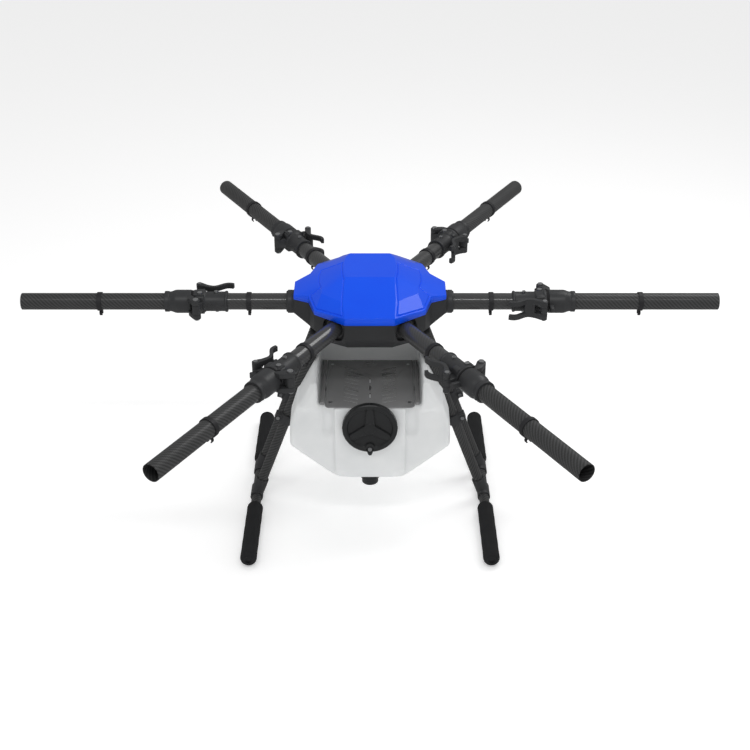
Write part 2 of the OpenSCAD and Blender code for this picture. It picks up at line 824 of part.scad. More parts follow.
lower_shell();
top_cover();
cover_screws();
cover_posts();
upper_plate();
lower_plate();
plate_spacers();
arm_root_clamps();
arm_collars();
inner_tubes();
inner_joints();
joint_seals();
hinge_pins();
lever_pins();
frame_bolts();
inner_hose_clips();
power_board();
flight_controller();
leg_tubes();
leg_brackets();
leg_clamps();
tank_rails();
skid_tubes();
skid_tees();
foam_sleeves();
skid_end_caps();
tank();
neck_ring();
battery_tray();
tray_side_rails();
tray_screws();
strainer();
drain_outlet();
cap_seal();
filler_cap();
cap_bolt();
for (i = [0 : arm_count - 1]) {
    outer_joint(i);
    outer_tube(i);
    hose_clip(i);
    latch_lever(i);
}
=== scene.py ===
# %% [markdown]
# # A folding six-arm spray drone
# The drone is a frame: a moulded shell on carbon plates, six carbon arms that fold at a
# joint, a blow-moulded tank that slides out to the front, and two skids with foam sleeves.
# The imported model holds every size. This lesson dresses it: each step remakes one kind of
# piece with the rounding, seams and surface that its way of making leaves on it.

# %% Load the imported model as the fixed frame
import json
from math import cos, pi, radians, sin, tau

import bmesh
import bpy
from mathutils import Matrix, Vector


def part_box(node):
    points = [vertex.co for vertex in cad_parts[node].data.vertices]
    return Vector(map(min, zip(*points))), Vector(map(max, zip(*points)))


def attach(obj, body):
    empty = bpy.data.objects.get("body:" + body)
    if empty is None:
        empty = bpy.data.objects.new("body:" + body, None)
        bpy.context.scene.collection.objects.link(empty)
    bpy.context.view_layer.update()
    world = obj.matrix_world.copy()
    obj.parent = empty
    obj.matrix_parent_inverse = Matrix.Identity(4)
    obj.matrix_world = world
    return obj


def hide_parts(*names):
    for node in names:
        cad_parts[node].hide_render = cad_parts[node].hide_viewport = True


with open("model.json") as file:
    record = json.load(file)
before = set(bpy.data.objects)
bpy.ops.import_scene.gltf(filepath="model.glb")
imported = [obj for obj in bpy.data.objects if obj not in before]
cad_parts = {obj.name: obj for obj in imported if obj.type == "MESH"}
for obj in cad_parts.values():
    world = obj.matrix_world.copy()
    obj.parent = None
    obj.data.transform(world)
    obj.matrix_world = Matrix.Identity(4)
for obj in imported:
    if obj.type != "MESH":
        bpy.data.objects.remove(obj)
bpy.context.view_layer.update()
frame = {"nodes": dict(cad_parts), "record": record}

# %% [markdown]
# ## Camera
# A product camera stands well back, so that the far arms aren't much smaller than the near
# ones. A long lens on a small sensor would do the same; here the lens is moderately long and
# the eye is about 30 degrees above the arms' plane.

# %% Camera
scene = bpy.context.scene
EYE_RISE = radians(30.3)
EYE_FAR = 3.185
aim = Vector((0.012, 0, 0.335))

camera_data = bpy.data.cameras.new("camera")
camera_data.lens = 61.6
camera_data.sensor_width = 36
camera = bpy.data.objects.new("camera", camera_data)
camera.location = aim + EYE_FAR * Vector((0, -cos(EYE_RISE), sin(EYE_RISE)))
camera.rotation_euler = (pi / 2 - EYE_RISE, 0, 0)
scene.collection.objects.link(camera)
scene.camera = camera
scene.view_settings.view_transform = "Standard"
print("camera at", [round(v, 3) for v in camera.location])

# %% [markdown]
# ## Shader sums
# A finish is a small calculation: noise times a little, plus a base value. Written as nodes by
# hand, that is a page of links. The class below wraps a socket, so that a sum in Python adds
# the Math nodes, and one method adds every other kind of node.

# %% A wrapped socket and a paint that is being mixed
class Wire:
    """One output socket. Sums on it add Math nodes."""

    def __init__(self, paint, socket):
        self.paint = paint
        self.socket = socket

    def math(self, operation, *values):
        return self.paint.add("Math", {"operation": operation}, dict(enumerate(values)))

    def __add__(self, other):
        return self.math("ADD", self, other)

    def __sub__(self, other):
        return self.math("SUBTRACT", self, other)

    def __rsub__(self, other):
        return self.math("SUBTRACT", other, self)

    def __mul__(self, other):
        return self.math("MULTIPLY", self, other)

    def __truediv__(self, other):
        return self.math("DIVIDE", self, other)

    def __lt__(self, other):
        return self.math("LESS_THAN", self, other)

    __radd__ = __add__
    __rmul__ = __mul__

    def floor(self):
        return self.math("FLOOR", self)

    def fraction(self):
        return self.math("FRACT", self)

    def sine(self):
        return self.math("SINE", self)


class Paint:
    """A material on a Principled shader. add() makes any node and wraps its output."""

    def __init__(self, name, **constants):
        self.material = bpy.data.materials.new(name)
        self.material.use_nodes = True
        self.tree = self.material.node_tree
        self.shader = self.tree.nodes["Principled BSDF"]
        self.set(**constants)

    def add(self, kind, settings=None, inputs=None, output=0):
        node = self.tree.nodes.new("ShaderNode" + kind)
        for name, value in (settings or {}).items():
            if name == "stops":
                self.set_stops(node.color_ramp, value)
            else:
                setattr(node, name, value)
        for name, value in (inputs or {}).items():
            self.plug(node.inputs[name], value)
        return Wire(self, node.outputs[output])

    def set_stops(self, ramp, stops):
        while len(ramp.elements) < len(stops):
            ramp.elements.new(0.5)
        for element, (place, grey) in zip(ramp.elements, stops):
            element.position = place
            element.color = (grey, grey, grey, 1)

    def plug(self, socket, value):
        if isinstance(value, Wire):
            self.tree.links.new(value.socket, socket)
        else:
            socket.default_value = value

    def set(self, **values):
        for name, value in values.items():
            self.plug(self.shader.inputs[name.replace("_", " ")], value)

    def where(self):
        return self.add("TexCoord", output="Object")

    def noise(self, scale, detail=2.0, vector=None):
        """Noise from 0 to 1, with scale in waves per metre."""
        inputs = {"Vector": vector or self.where(), "Scale": scale, "Detail": detail}
        return self.add("TexNoise", inputs=inputs)

    def blend(self, factor, low, high):
        """A colour between two linear colours."""
        inputs = {"Factor": factor, 6: (*low, 1), 7: (*high, 1)}
        return self.add("Mix", {"data_type": "RGBA"}, inputs, output=2)

    def bump(self, height, distance, strength=1.0):
        inputs = {"Height": height, "Distance": distance, "Strength": strength}
        self.set(Normal=self.add("Bump", inputs=inputs))


def shade(colour, factor):
    return tuple(min(1, channel * factor) for channel in colour)


# %% [markdown]
# ## Moulded and coated finishes
# Injection-moulded nylon has a spark-eroded grain of about a third of a millimetre, and where
# it flowed unevenly its gloss drifts over a few centimetres. Anodised and powder-coated metal
# has the same two scales, only finer. So one recipe with two noises serves them all, and its
# numbers say which material it is.

# %% Moulded plastic and coated metal
def grained(name, colour, rough, grain, depth, drift=0.12, **constants):
    """Satin surface: grain in waves per metre, depth in metres, drift as a share."""
    paint = Paint(name, **constants)
    broad = paint.noise(28, 3)
    fine = paint.noise(grain, 2)
    tone = 0.6 * broad + 0.4 * fine
    dark, light = shade(colour, 1 - 2 * drift), shade(colour, 1 + 2 * drift)
    paint.set(Base_Color=paint.blend(tone, dark, light))
    paint.set(Roughness=rough - 0.08 + 0.16 * tone)
    paint.bump(fine, depth, 0.5)
    return paint.material


FINISH = {
    "shell_grey": grained("shell_grey", (0.028, 0.029, 0.031), 0.5, 2200, 0.00005),
    "joint_black": grained("joint_black", (0.035, 0.036, 0.038), 0.42, 3200, 0.00004, 0.16),
    "clip_black": grained("clip_black", (0.018, 0.018, 0.02), 0.5, 2600, 0.00004),
    "tray_grey": grained("tray_grey", (0.24, 0.24, 0.242), 0.5, 2400, 0.00005, 0.08),
    "cap_black": grained("cap_black", (0.02, 0.021, 0.022), 0.3, 2600, 0.00003),
    "rubber": grained("rubber", (0.009, 0.009, 0.01), 0.75, 1800, 0.00006),
    "strainer_blue": grained("strainer_blue", (0.05, 0.16, 0.42), 0.4, 2600, 0.00003),
}
print("grained finishes", len(FINISH))

# %% [markdown]
# ## Carbon tube
# Arm tubes are wrapped from 3K twill cloth: flat tows about two millimetres wide that pass over
# two and under two, so a diagonal rib runs round the tube. Under the lacquer, tows that lie
# along the tube catch the light differently from those that lie across it. That sheen is painted
# into the colour as a painted highlight, lighter on the tows that lie on top and on each tow's
# crown. A picture of cloth would stretch; here the weave is worked out from a UV map in metres,
# so it has its real size on every tube.

# %% Carbon twill from a UV map in metres
TOW = 0.0024


def carbon(name, lacquer, rough, contrast):
    paint = Paint(name, Coat_Weight=lacquer, Coat_Roughness=0.1, IOR=1.45)
    cloth = paint.add("UVMap", {"uv_map": "wrap"})
    split = paint.add("SeparateXYZ", inputs={"Vector": cloth})
    round_way = split / TOW
    along_way = Wire(paint, split.socket.node.outputs[1]) / TOW
    step = (round_way.floor() + along_way.floor()) / 4
    over = step.fraction() < 0.5
    hump_round = (round_way.fraction() * pi).sine()
    hump_along = (along_way.fraction() * pi).sine()
    hump = over * hump_round + (1 - over) * hump_along
    broad = paint.noise(16, 2)
    # painted highlight: tows on top and each tow's crown are lighter, standing in for their
    # sheen; the broad noise is real tone
    tone = 0.5 * over + 0.3 * hump + 0.2 * broad
    middle = (0.041, 0.0415, 0.042)
    dark, light = shade(middle, 1 - contrast), shade(middle, 1 + contrast)
    paint.set(Base_Color=paint.blend(tone, dark, light))
    paint.set(Roughness=rough + 0.1 * (1 - over) - 0.06 * broad)
    paint.bump(hump, 0.00012, 0.7 * contrast)
    return paint.material


FINISH["carbon_tube"] = carbon("carbon_tube", 1.0, 0.36, 0.2)
FINISH["carbon_satin"] = carbon("carbon_satin", 0.15, 0.46, 0.7)
FINISH["carbon_plate"] = grained("carbon_plate", (0.02, 0.02, 0.022), 0.4, 900, 0.00004)
print("tow width in mm", TOW * 1000)

# %% [markdown]
# ## Cover paint
# The cover is gloss blue: a coloured base under a clear layer. Sprayed clear coat is never
# quite flat, so its reflections swim a little, which a very low, wide bump gives. The base has
# hardly any texture of its own.

# %% Gloss blue
def gloss_blue():
    paint = Paint("cover_blue", IOR=1.3, Coat_Weight=0.4, Coat_Roughness=0.06)
    broad = paint.noise(9, 2)
    peel = paint.noise(420, 2)
    paint.set(Base_Color=paint.blend(broad, (0.0, 0.07, 0.86), (0.0, 0.1, 0.95)))
    paint.set(Roughness=0.3 + 0.06 * peel)
    paint.bump(0.8 * broad + 0.2 * peel, 0.0004, 0.25)
    return paint.material


FINISH["cover_blue"] = gloss_blue()

# %% [markdown]
# ## Tank plastic
# Blow-moulded polyethylene lets light through, and its wall is thicker where the parison
# stretched less. Full scattering would be slow and hard to see at this size, so a small share
# of subsurface light softens the shading and a cloudy colour gives the wall's uneven depth.

# %% Translucent white
def milky_white():
    paint = Paint("tank_white", Subsurface_Weight=0.25, Subsurface_Scale=0.02, IOR=1.5)
    paint.set(Subsurface_Radius=(1.0, 1.0, 1.0))
    cloud = paint.noise(14, 3)
    fine = paint.noise(900, 2)
    paint.set(Base_Color=paint.blend(cloud, (0.76, 0.78, 0.785), (0.92, 0.93, 0.93)))
    paint.set(Roughness=0.3 + 0.1 * cloud)
    paint.bump(0.7 * cloud + 0.3 * fine, 0.0005, 0.3)
    return paint.material


FINISH["tank_white"] = milky_white()

# %% [markdown]
# ## Foam, metals and boards
# Closed-cell foam is a skin of burst bubbles well under a millimetre across, which a Voronoi
# texture gives as dimples. Screws and pins are bright turned steel: their fine rings are a
# stretched noise. Circuit boards are lacquer over copper, as blocks and lines.

# %% Foam
def closed_cell_foam():
    paint = Paint("foam", IOR=1.35)
    cells = paint.add("TexVoronoi", inputs={"Vector": paint.where(), "Scale": 750})
    broad = paint.noise(35, 3)
    tone = 0.5 * cells + 0.5 * broad
    paint.set(Base_Color=paint.blend(tone, (0.012, 0.012, 0.013), (0.026, 0.027, 0.028)))
    paint.set(Roughness=0.86 + 0.1 * broad)
    paint.bump(0.8 * cells + 0.2 * broad, 0.0004, 0.7)
    return paint.material


FINISH["foam"] = closed_cell_foam()


# %% Turned metal and circuit boards
def turned_metal(name, colour, rough):
    paint = Paint(name, Metallic=1.0)
    stretch = paint.add("Mapping", inputs={"Vector": paint.where(), "Scale": (1, 1, 6)})
    rings = paint.noise(1200, 2, stretch)
    paint.set(Base_Color=paint.blend(rings, shade(colour, 0.85), shade(colour, 1.1)))
    paint.set(Roughness=rough + 0.15 * rings)
    paint.bump(rings, 0.00003, 0.4)
    return paint.material


def circuit_board():
    paint = Paint("board_green", Coat_Weight=0.4)
    cells = paint.add(
        "TexVoronoi", {"distance": "MANHATTAN"}, {"Vector": paint.where(), "Scale": 220})
    paint.set(Base_Color=paint.blend(cells < 0.35, (0.02, 0.1, 0.05), (0.05, 0.17, 0.09)))
    paint.set(Roughness=0.35 + 0.2 * cells)
    paint.bump(cells, 0.0002, 0.4)
    return paint.material


FINISH["steel"] = turned_metal("steel", (0.6, 0.61, 0.62), 0.22)
FINISH["alloy"] = turned_metal("alloy", (0.48, 0.49, 0.5), 0.38)
FINISH["board_green"] = circuit_board()
print("finishes", len(FINISH))

# %% [markdown]
# ## Workshop tools
# Every piece starts as a bmesh in millimetres, in the arm's own axes or the drone's. A turned
# part is a half section spun round X; a rounded plate is the convex skin of a few circles. The
# last tool turns a bmesh into an object at the origin, shades it, and puts it on its body.

# %% Spin, skin, soften
MM = Matrix.Scale(0.001, 4)


def turned(section, steps=64):
    """A closed half section of (distance along X, radius) points, spun round X."""
    bm = bmesh.new()
    points = [bm.verts.new((x, 0, r)) for x, r in section]
    lines = [bm.edges.new(pair) for pair in zip(points, points[1:] + points[:1])]
    bmesh.ops.spin(bm, geom=points + lines, cent=(0, 0, 0), axis=(1, 0, 0), angle=tau,
                   steps=steps, use_merge=True)
    bmesh.ops.remove_doubles(bm, verts=bm.verts, dist=0.001)
    bmesh.ops.recalc_face_normals(bm, faces=bm.faces)
    return bm


def skin(bm):
    """Wraps the convex skin round a bmesh's points."""
    inside = bmesh.ops.convex_hull(bm, input=bm.verts)["geom_interior"]
    bmesh.ops.delete(bm, geom=[v for v in inside if isinstance(v, bmesh.types.BMVert)],
                     context="VERTS")
    bmesh.ops.delete(bm, geom=[e for e in bm.edges if e.is_wire], context="EDGES")
    bmesh.ops.dissolve_limit(bm, angle_limit=radians(1), verts=bm.verts, edges=bm.edges)
    bmesh.ops.recalc_face_normals(bm, faces=bm.faces)
    return bm


def plate(rounds, low, high, steps=32):
    """The skin of circles (x, y, radius), from height low to high."""
    bm = bmesh.new()
    for x, y, radius in rounds:
        for z in (low, high):
            bmesh.ops.create_circle(bm, segments=steps, radius=radius,
                                    matrix=Matrix.Translation((x, y, z)))
    return skin(bm)


def block(points):
    bm = bmesh.new()
    for point in points:
        bm.verts.new(point)
    return skin(bm)


def soften(bm, width, segments=2, angle=35):
    sharp = [e for e in bm.edges if e.is_manifold and e.calc_face_angle(0) > radians(angle)]
    bmesh.ops.bevel(bm, geom=sharp, offset=width, offset_type="OFFSET", segments=segments,
                    profile=0.5, affect="EDGES", material=-1, clamp_overlap=True)
    return bm


# %% Join parts, wrap a UV map, finish a piece
def join(parts, place=Matrix()):
    """One bmesh from several parts, moved to their place."""
    whole = bmesh.new()
    for part in parts:
        part.transform(place)
        store = bpy.data.meshes.new("store")
        part.to_mesh(store)
        part.free()
        whole.from_mesh(store)
        bpy.data.meshes.remove(store)
    return whole


def wrap_uv(bm, radius):
    """A UV map in metres round and along X, for tubes of one radius."""
    layer = bm.loops.layers.uv.new("wrap")
    for face in bm.faces:
        middle = face.calc_center_median()
        start = Vector((middle.y, middle.z))
        for loop in face.loops:
            x, y, z = loop.vert.co
            turn = start.angle_signed(Vector((y, z)), 0)
            base = Vector((0, 1)).angle_signed(start, 0)
            loop[layer].uv = ((base + turn) * radius / 1000, x / 1000)
    return bm


def finish(bm, name, body, slot, nodes=(), look=None, sharp=35):
    """Makes the bmesh, in millimetres, a piece that rides on a body."""
    bm.transform(MM)
    mesh = bpy.data.meshes.new(name)
    bm.to_mesh(mesh)
    bm.free()
    mesh.shade_smooth()
    mesh.set_sharp_from_angle(angle=radians(sharp))
    piece = bpy.data.objects.new(name, mesh)
    scene.collection.objects.link(piece)
    piece.data.materials.append(FINISH[look or slot])
    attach(piece, body)
    if nodes:
        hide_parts(*nodes)
    return piece


# %% [markdown]
# ## Arm layout
# All arms are the same, turned by 60 degrees. Each is made once in its own axes, with X
# outwards, and put in place by a matrix. The height of the arms and the outer tube's ends come
# from the frame's boxes. The pins, clips and inner tube are named here, in millimetres.

# %% Arm layout from the frame
ARMS = range(6)
tube_low, tube_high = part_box("outer_tube_0")
ARM_Z = 500 * (tube_low.z + tube_high.z)
TUBE_START = 1000 * tube_low.x
TUBE_END = 1000 * tube_high.x
TUBE = 500 * (tube_high.z - tube_low.z)
BORE = TUBE - 1.5
FACE = TUBE_START - 6
INNER_TUBE = (76, 416)
OUTER_CLIP = 648
INNER_CLIP = 290
HINGE = (412, 42)
PIVOT = (413, -47)


def arm_place(i):
    return Matrix.Rotation(radians(60 * i), 4, "Z") @ Matrix.Translation((0, 0, ARM_Z))


print("arms", len(ARMS), "height", round(ARM_Z, 1), "tube from", round(TUBE_START, 1))

# %% [markdown]
# ## Arm tubes
# A carbon tube is rolled on a mandrel and cut square, with a light chamfer where the saw left
# a burr. It is spun from its wall's section, so its open end shows the wall's thickness. The
# inner tubes are lacquered bright, the outer ones only sealed.

# %% Arm tubes
def tube(start, end):
    section = [(start, BORE), (start, TUBE - 0.4), (start + 0.4, TUBE),
               (end - 0.4, TUBE), (end, TUBE - 0.4), (end, BORE)]
    return wrap_uv(turned(section, 72), TUBE)


for i in ARMS:
    outer = join([tube(TUBE_START, TUBE_END)], arm_place(i))
    finish(outer, f"outer_tube_sleeve_{i}", f"arm_{i}", "carbon_tube",
           [f"outer_tube_{i}"], "carbon_satin")
    inner = join([tube(*INNER_TUBE)], arm_place(i))
    finish(inner, f"inner_tube_sleeve_{i}", "airframe", "carbon_tube", ["inner_tubes"])
print("tubes", 2 * len(ARMS))

# %% [markdown]
# ## Outer joint
# The outer half of the folding joint is turned from bar and milled: a bottle shape that
# swallows the tube, with two knuckles for the hinge pin and a hook for the latch. The bottle
# is a spun section whose shoulder is a half wave; the knuckles are skins of circles.

# %% Outer joint
def shoulder(start, length, high, low, steps=10):
    """Section points along a half wave from one radius down to another."""
    return [(start + length * k / steps, low + (high - low) * (1 + cos(pi * k / steps)) / 2)
            for k in range(steps + 1)]


def bottle():
    collar = FACE + 54
    section = [(FACE, 16.5), (FACE, 26.6), (FACE + 1.4, 28)]
    section += shoulder(FACE + 35, 18, 28, 23.6)
    section += [(collar + 1, 25), (collar + 10, 25), (collar + 10, TUBE + 0.05),
                (TUBE_START, TUBE + 0.05), (TUBE_START, 16.5)]
    return soften(turned(section, 80), 0.5, angle=40)


def knuckle(side):
    low, high = sorted((side * 12.3, side * 24))
    ear = plate([(HINGE[0], HINGE[1], 10), (FACE + 3, 28, 3), (FACE + 3, 14, 3)], low, high)
    return soften(ear, 1.2)


def catch():
    hook = plate([(FACE + 5, -26, 4.5), (FACE + 5, -45, 4.5)], -6, 6)
    return soften(hook, 1)


def stud(x, radius, turn, high=1.2):
    """A small screw head on a round surface: distance, its seat's radius, turn."""
    head = plate([(0, 0, 2.6)], 0, high, 16)
    socket = plate([(0, 0, 1.2)], high - 0.1, high + 0.3, 6)
    place = Matrix.Rotation(radians(turn), 4, "X") @ Matrix.Translation((x, 0, radius))
    return join([soften(head, 0.4), socket], place)


for i in ARMS:
    parts = [bottle(), knuckle(1), knuckle(-1), catch()]
    parts += [stud(FACE + 59, 24.9, turn) for turn in (120, 240)]
    joint = join(parts, arm_place(i))
    finish(joint, f"outer_joint_body_{i}", f"arm_{i}", "joint_black", [f"outer_joint_{i}"])
print("outer joints", len(ARMS))

# %% [markdown]
# ## Inner joint
# The half that stays on the body is a sleeve clamped on the inner tube, ending in a square
# block. The block carries the middle knuckle of the hinge on one side and the latch lever's lug
# on the other. A raised lip finishes the sleeve's inner end.

# %% Inner joint
def sleeve():
    section = [(341, TUBE + 0.05), (341, 24.4), (342.2, 25.5), (346, 25.5), (347.6, 23.6),
               (393, 23.6), (396, 26.4), (414, 26.4), (414.5, 27.9), (420.6, 27.9),
               (421.4, 27), (421.4, 16.5), (416, 16.5), (416, TUBE + 0.05)]
    return soften(turned(section, 80), 0.5, angle=40)


def hinge_block():
    bm = bmesh.new()
    place = Matrix.Translation((406, 0, 0)) @ Matrix.Diagonal((20, 48, 48, 1))
    bmesh.ops.create_cube(bm, size=1, matrix=place)
    long_edges = [e for e in bm.edges if abs(e.verts[0].co.x - e.verts[1].co.x) > 1]
    bmesh.ops.bevel(bm, geom=long_edges, offset=7, offset_type="OFFSET", segments=4,
                    profile=0.5, affect="EDGES", material=-1)
    return soften(bm, 1.2)


def inner_joint():
    middle = plate([(HINGE[0], HINGE[1], 10), (406, 24, 9)], -12, 12)
    lug = plate([(PIVOT[0], PIVOT[1], 8), (410, -24, 9)], -8, 8)
    seat = plate([(406, 9, 8.5)], 22, 25.5)
    rib = plate([(398, 16, 3), (418, 16, 3)], 20, 26)
    parts = [sleeve(), hinge_block(), soften(middle, 1), soften(lug, 1), soften(seat, 0.6),
             soften(rib, 0.8)]
    parts += [stud(x, 23.4, turn) for x in (352, 377) for turn in (90, 270)]
    return parts


for i in ARMS:
    half = join(inner_joint(), arm_place(i))
    finish(half, f"inner_joint_body_{i}", "airframe", "joint_black", ["inner_joints"])
print("inner joints", len(ARMS))

# %% [markdown]
# ## Latch lever
# The lever is cut from an extruded wave profile. Its root straddles the lug, and a slot parts
# the handle into two prongs. A strip of a few quads follows the wave, is extruded to height and
# bevelled, and a subdivision surface rounds it.

# %% Latch lever
WAVE = [(404, -42.5, 6), (393, -36.5, 5.2), (379, -31.5, 4.6), (367, -35, 4.3),
        (354, -46.5, 4.3), (342, -51.5, 4.3), (330, -47, 4.3)]


def strip(rounds, low, high):
    """A band that follows rounds (x, y, half width), from height low to high."""
    bm = bmesh.new()
    path = [Vector((x, y, 0)) for x, y, _ in rounds]
    pairs = []
    for k, (x, y, half) in enumerate(rounds):
        ahead = path[min(k + 1, len(path) - 1)] - path[max(k - 1, 0)]
        across = half * Vector((-ahead.y, ahead.x, 0)).normalized()
        base = Vector((x, y, low))
        pairs.append([bm.verts.new(base + across), bm.verts.new(base - across)])
    faces = [bm.faces.new((a[0], a[1], b[1], b[0])) for a, b in zip(pairs, pairs[1:])]
    raised = bmesh.ops.extrude_face_region(bm, geom=faces)["geom"]
    bmesh.ops.translate(bm, vec=(0, 0, high - low),
                        verts=[v for v in raised if isinstance(v, bmesh.types.BMVert)])
    bmesh.ops.recalc_face_normals(bm, faces=bm.faces)
    return soften(bm, 1, 2, 50)


def lever():
    parts = []
    for low, high in ((-24, -11), (11, 24)):
        parts.append(strip(WAVE, low, high))
    parts.append(strip(WAVE[1:4], -13, 13))
    return parts


def lever_eye(low, high):
    return soften(plate([(PIVOT[0], PIVOT[1], 8), (402, -41.5, 6)], low, high), 0.8)


for i in ARMS:
    handle = finish(join(lever(), arm_place(i)), f"latch_handle_{i}", f"latch_{i}",
                    "joint_black", [f"latch_lever_{i}"], sharp=60)
    smooth = handle.modifiers.new("round", "SUBSURF")
    smooth.levels = 2
    smooth.render_levels = 2
    eyes = join([lever_eye(8.4, 24), lever_eye(-24, -8.4)], arm_place(i))
    finish(eyes, f"latch_root_{i}", f"latch_{i}", "joint_black", [f"latch_lever_{i}"])
print("levers", len(ARMS))

# %% [markdown]
# ## Hose clips
# Each clip is a moulded band with an open hook below, into which the spray hose snaps. The
# hook is a small square section spun most of the way round.

# %% Hose clips
def clip(middle):
    band = turned([(middle - 5.5, TUBE + 0.05), (middle - 5.5, TUBE + 2.2),
                   (middle - 5, TUBE + 2.6), (middle + 5, TUBE + 2.6),
                   (middle + 5.5, TUBE + 2.2), (middle + 5.5, TUBE + 0.05)], 56)
    neck = block([(middle + x, y, z) for x in (-3.4, 3.4) for y in (-4, 4)
                  for z in (-TUBE - 7, -TUBE - 1)])
    hook = bmesh.new()
    centre = -TUBE - 9
    ring = [hook.verts.new((middle + x, 0, centre + z))
            for x, z in ((-3.4, 5.2), (3.4, 5.2), (3.4, 8), (-3.4, 8))]
    face = hook.faces.new(ring)
    bmesh.ops.rotate(hook, verts=ring, cent=(0, 0, centre), matrix=Matrix.Rotation(-2.55, 3, "X"))
    bmesh.ops.spin(hook, geom=[face], cent=(0, 0, centre), axis=(1, 0, 0), angle=5.1, steps=28)
    bmesh.ops.recalc_face_normals(hook, faces=hook.faces)
    return [band, neck, soften(hook, 0.5, 2, 50)]


for i in ARMS:
    finish(join(clip(OUTER_CLIP), arm_place(i)), f"outer_clip_{i}", f"arm_{i}", "clip_black",
           [f"hose_clip_{i}"])
    finish(join(clip(INNER_CLIP), arm_place(i)), f"inner_clip_{i}", "airframe", "clip_black",
           ["inner_hose_clips"])
print("hose clips", 2 * len(ARMS))

# %% [markdown]
# ## Copies with broken edges
# Milled clamps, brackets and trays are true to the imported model, but their edges there are
# knife sharp, and no made thing is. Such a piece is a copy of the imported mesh: its loose
# triangles are merged, flat faces are joined, and every sharp edge gets a small bevel.

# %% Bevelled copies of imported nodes
def broken_copy(node, width, segments=2, angle=35):
    bm = bmesh.new()
    bm.from_mesh(frame["nodes"][node].data)
    bm.transform(Matrix.Scale(1000, 4))
    bmesh.ops.remove_doubles(bm, verts=bm.verts, dist=0.002)
    bmesh.ops.dissolve_limit(bm, angle_limit=radians(2), verts=bm.verts, edges=bm.edges)
    return soften(bm, width, segments, angle)


COPIES = {
    "lower_shell": ("airframe", "shell_grey", 1.2),
    "arm_root_clamps": ("airframe", "joint_black", 1.0),
    "leg_brackets": ("airframe", "joint_black", 1.2),
    "leg_clamps": ("airframe", "joint_black", 0.8),
    "tank_rails": ("airframe", "joint_black", 0.6),
    "skid_tees": ("airframe", "joint_black", 1.0),
    "tray_side_rails": ("tank_unit", "tray_grey", 0.8),
    "drain_outlet": ("tank_unit", "cap_black", 0.8),
}
for node, (body, slot, width) in COPIES.items():
    finish(broken_copy(node, width), node + "_eased", body, slot, [node])
print("eased copies", len(COPIES))

# %% [markdown]
# ## Legs and skids
# The legs and skids are thinner carbon tube. A tube along any line is the same spun section,
# put in place by the line's own matrix.

# %% Legs and skids
leg_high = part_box("leg_tubes")[1]
skid_low, skid_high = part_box("skid_tubes")
foam_low, foam_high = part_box("foam_sleeves")
LEG = 500 * (skid_high.z - skid_low.z)
SKID_X = 1000 * skid_high.x - LEG
SKID_Z = 1000 * skid_low.z + LEG
SKID_REAR = 1000 * skid_high.y
SKID_LENGTH = 1000 * (skid_high.y - skid_low.y)
LEG_Y = 1000 * leg_high.y - LEG
LEG_TOP = Vector((130, 0, ARM_Z - 85))


def along(start, end):
    """The matrix that puts X on the line from start to end."""
    turn = (end - start).to_track_quat("X", "Z").to_matrix().to_4x4()
    return Matrix.Translation(start) @ turn


def thin_tube(length):
    section = [(0, LEG - 1.5), (0, LEG - 0.3), (0.3, LEG), (length - 0.3, LEG),
               (length, LEG - 0.3), (length, LEG - 1.5)]
    return wrap_uv(turned(section, 48), LEG)


for name, side in (("right", 1), ("left", -1)):
    start = Vector((side * SKID_X, SKID_REAR - SKID_LENGTH, SKID_Z))
    skid = join([thin_tube(SKID_LENGTH)], along(start, start + Vector((0, 1, 0))))
    finish(skid, f"skid_tube_{name}", "airframe", "carbon_tube", ["skid_tubes"], "carbon_satin")
    for fore, y in (("front", -LEG_Y), ("rear", LEG_Y)):
        top = Vector((side * LEG_TOP.x, y, LEG_TOP.z))
        foot = Vector((side * SKID_X, y, SKID_Z))
        reach = (foot - top).length - LEG - 4
        leg = join([thin_tube(reach)], along(top, foot))
        finish(leg, f"leg_tube_{fore}_{name}", "airframe", "carbon_tube", ["leg_tubes"],
               "carbon_satin")
print("leg tube radius", round(LEG, 2), "skids", round(SKID_LENGTH), "long")

# %% [markdown]
# ## Foam sleeves
# The skids stand on tubes of closed-cell foam, pushed on and left a little uneven. The sleeve
# is a spun section with round ends, and a slow wave along it keeps it from looking machined.
# The front pair sits further out than the rear pair, so each is placed from its own end.

# %% Foam sleeves
FOAM = 500 * (foam_high.z - foam_low.z)
FOAM_LENGTH = 225


def foam_sleeve():
    ring, end = 13.5, FOAM_LENGTH
    nose = [(ring - ring * cos(t), FOAM - ring + ring * sin(t))
            for t in (pi / 2 * k / 8 for k in range(9))]
    middle = [(x, FOAM - 0.25 + 0.25 * sin(x * 0.13)) for x in range(22, end - 20, 8)]
    tail = [(end - x, r) for x, r in reversed(nose)]
    section = [(0, LEG + 0.1)] + nose + middle + tail + [(end, LEG + 0.1)]
    return turned(section, 56)


for name, side in (("right", 1), ("left", -1)):
    for fore, way, end in (("front", -1, foam_low.y), ("rear", 1, foam_high.y)):
        start = Vector((side * SKID_X, 1000 * end - way * FOAM_LENGTH, SKID_Z))
        foam = join([foam_sleeve()], along(start, start + Vector((0, way, 0))))
        pad = finish(foam, f"foam_sleeve_{fore}_{name}", "airframe", "foam", ["foam_sleeves"])
print("foam sleeves", FOAM_LENGTH, "long, radius", round(FOAM, 1))

# %% [markdown]
# ## Tank
# The tank is blow moulded: one skin of plastic with no sharp edge anywhere, softened where the
# mould's faces meet. It is easiest to build from plain convex blocks, as the mould maker sees
# it, then melt them into one skin with a voxel remesh and a little smoothing.

# %% Blocks of the tank, right half and mirrored
tank_low, tank_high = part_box("tank")
tray_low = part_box("battery_tray")[0]
seal_low, seal_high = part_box("cap_seal")
FRONT = -183
REAR = 1000 * tank_high.y
FOOT = 1000 * tank_low.z
TOP = 1000 * tank_high.z
WIDE = 1000 * tank_high.x
BAY_FLOOR = 1000 * tray_low.z - 0.1
CAP_Z = 500 * (seal_low.z + seal_high.z)


